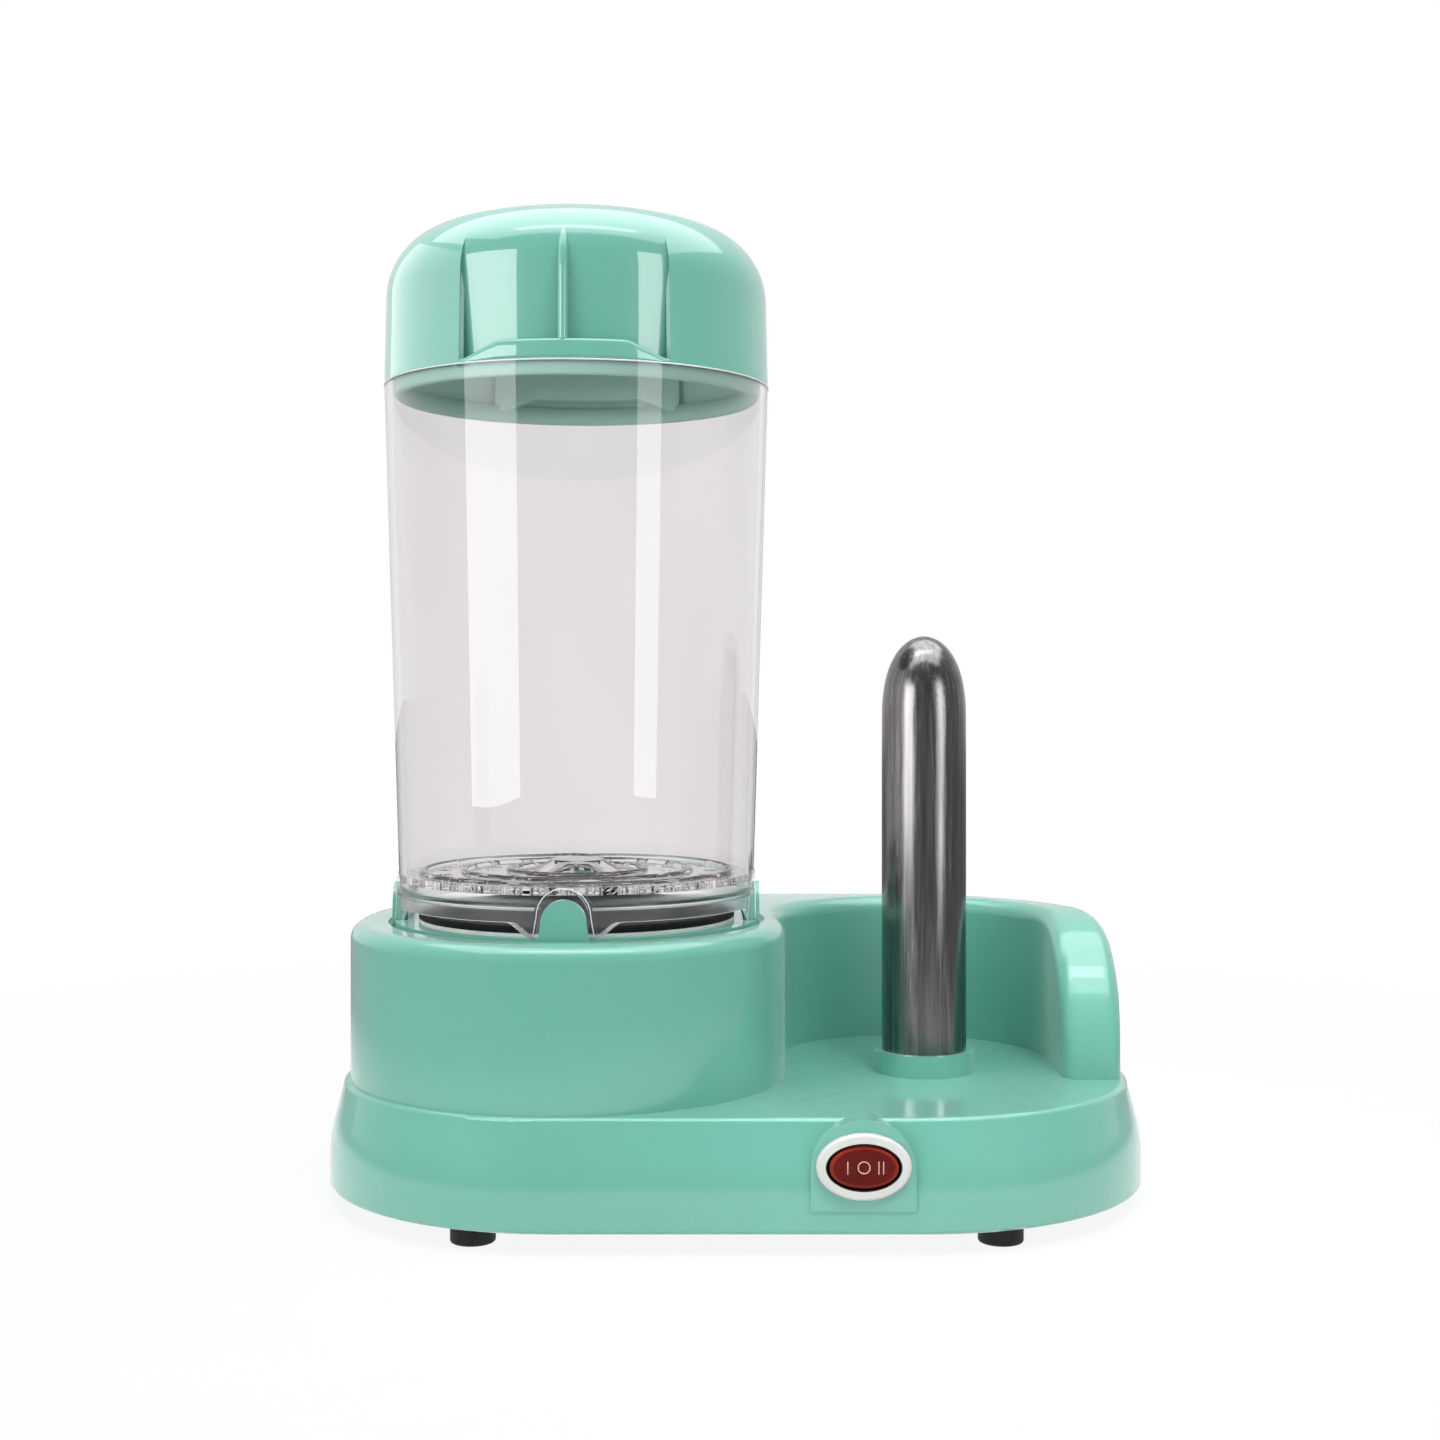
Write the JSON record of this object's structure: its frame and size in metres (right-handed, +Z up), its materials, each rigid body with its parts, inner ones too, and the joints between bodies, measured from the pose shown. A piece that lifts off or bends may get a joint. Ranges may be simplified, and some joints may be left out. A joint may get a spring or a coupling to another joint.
{
  "type": "hot dog machine",
  "caption": "Countertop steam hot dog maker: clear tapered jar with domed lid over a hot plate, heated bun spike in a bay beside it, rocker switch on the front.",
  "frame": {"origin": "centre of the overall box on the floor, under the feet", "axes": "+X to the right seen from the front, +Y to the back, +Z up"},
  "size_m": [0.2404, 0.1562, 0.2911],
  "materials": {
    "mint_plastic": "glossy moulded",
    "cover_plastic": "fine texture",
    "clear_plastic": "clear, polished",
    "nonstick_black": "black non-stick coating",
    "spike_steel": "brushed",
    "steel": "plain",
    "dark_steel": "heat darkened",
    "silicone": "matt",
    "ceramic": "unglazed",
    "brass": "plain",
    "white_plastic": "glossy moulded",
    "red_plastic": "glossy translucent red",
    "block_plastic": "plain",
    "black_plastic": "plain",
    "black_rubber": "matt",
    "lead_brown": "sleeve",
    "lead_white": "sleeve",
    "lead_blue": "sleeve"
  },
  "bodies": {
    "base": {"upper_housing": "mint_plastic", "bottom_cover": "cover_plastic", "hot_plate": "nonstick_black", "plate_seal": "silicone", "heating_element": "dark_steel", "clamp_ring": "steel", "clamp_screws": "steel", "thermostat": "ceramic", "thermostat_bracket": "steel", "bracket_screws": "steel", "thermal_fuse": "ceramic", "spike_tube": "spike_steel", "spike_heater": "dark_steel", "spike_insulator": "ceramic", "spike_retainer": "steel", "retainer_screws": "steel", "switch_body": "white_plastic", "switch_terminals": "brass", "terminal_block": "block_plastic", "terminal_screws": "brass", "cord_gland": "black_plastic", "cover_screws": "steel", "foot_front_left": "black_rubber", "foot_front_right": "black_rubber", "foot_back_left": "black_rubber", "foot_back_right": "black_rubber", "lead_supply": "lead_brown", "lead_plate_feed": "lead_white", "lead_thermostat": "lead_white", "lead_plate_return": "lead_blue", "lead_spike_feed": "lead_white", "lead_spike_return": "lead_blue"},
    "rocker": {"switch_rocker": "red_plastic"},
    "jar": {"jar": "clear_plastic"},
    "lid": {"lid": "mint_plastic"}
  },
  "joints": [
    {"name": "rocker_tilt", "type": "hinge", "parent": "base", "child": "rocker", "pos_m": [0.0333, -0.0741, 0.024], "axis": [0, 0, 1], "range_deg": [-10, 10]},
    {"name": "jar_lift", "type": "slide", "parent": "base", "child": "jar", "axis": [0, 0, 1], "range_m": [0, 0.12]},
    {"name": "lid_lift", "type": "slide", "parent": "jar", "child": "lid", "axis": [0, 0, 1], "range_m": [0, 0.08]}
  ]
}
